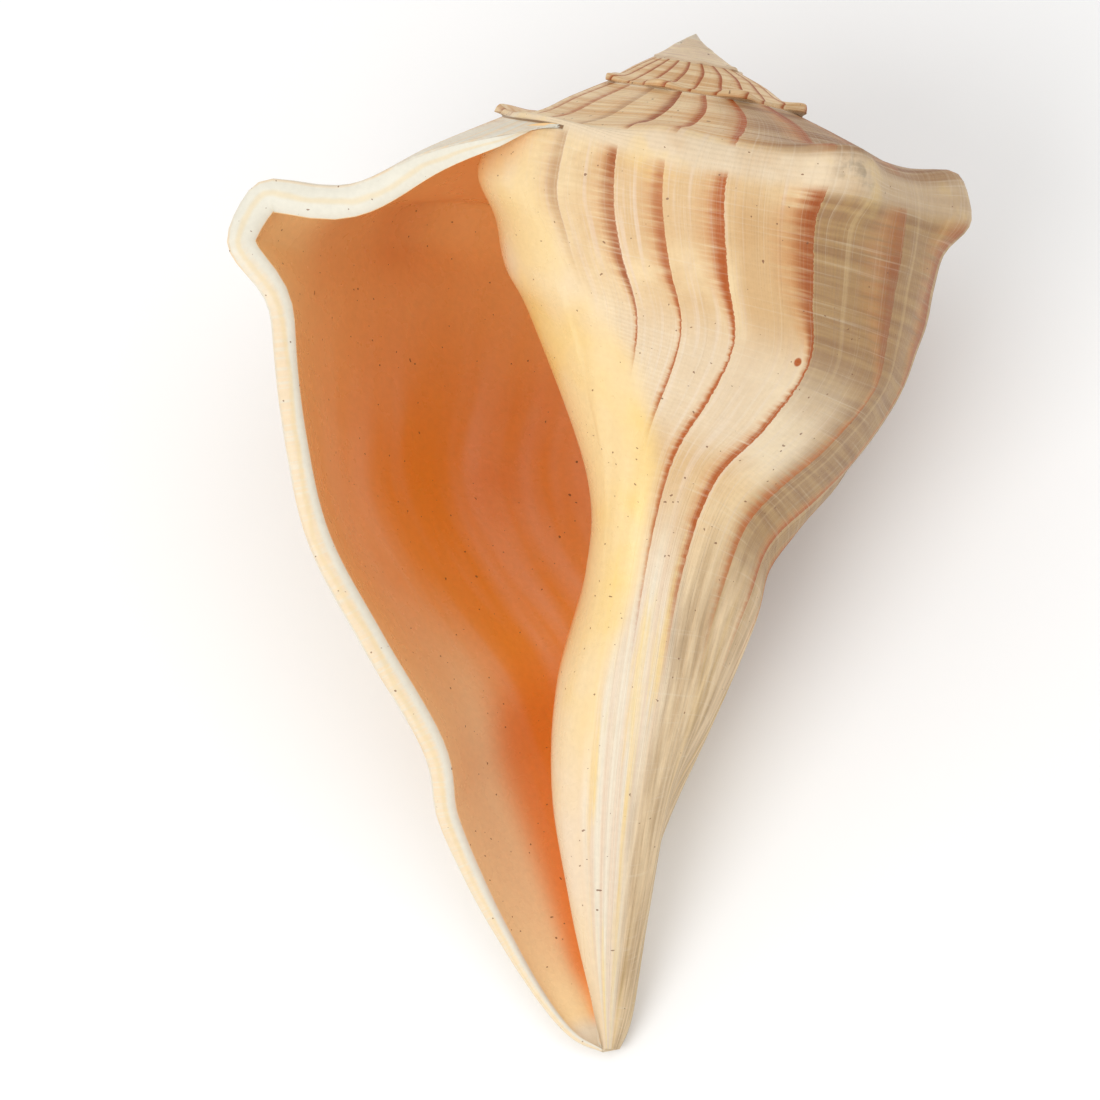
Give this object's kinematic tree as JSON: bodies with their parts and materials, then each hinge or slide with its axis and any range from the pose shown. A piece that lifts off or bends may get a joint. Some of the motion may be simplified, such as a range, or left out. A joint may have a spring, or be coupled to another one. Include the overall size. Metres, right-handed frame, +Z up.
{
  "type": "conch shell",
  "caption": "Left-handed spiral sea shell with knobs on its shoulder, a wide open mouth and a long tapering canal, lying on its back.",
  "frame": {"origin": "centre of the bounding box's bottom face, on the surface the shell rests on", "axes": "+Y towards the spire's end, +X to the right of the mouth, +Z up, with the mouth facing up"},
  "size_m": [0.1338, 0.1748, 0.1054],
  "materials": {
    "shell": "satin"
  },
  "bodies": {
    "root": {"shell": "shell"}
  },
  "joints": []
}
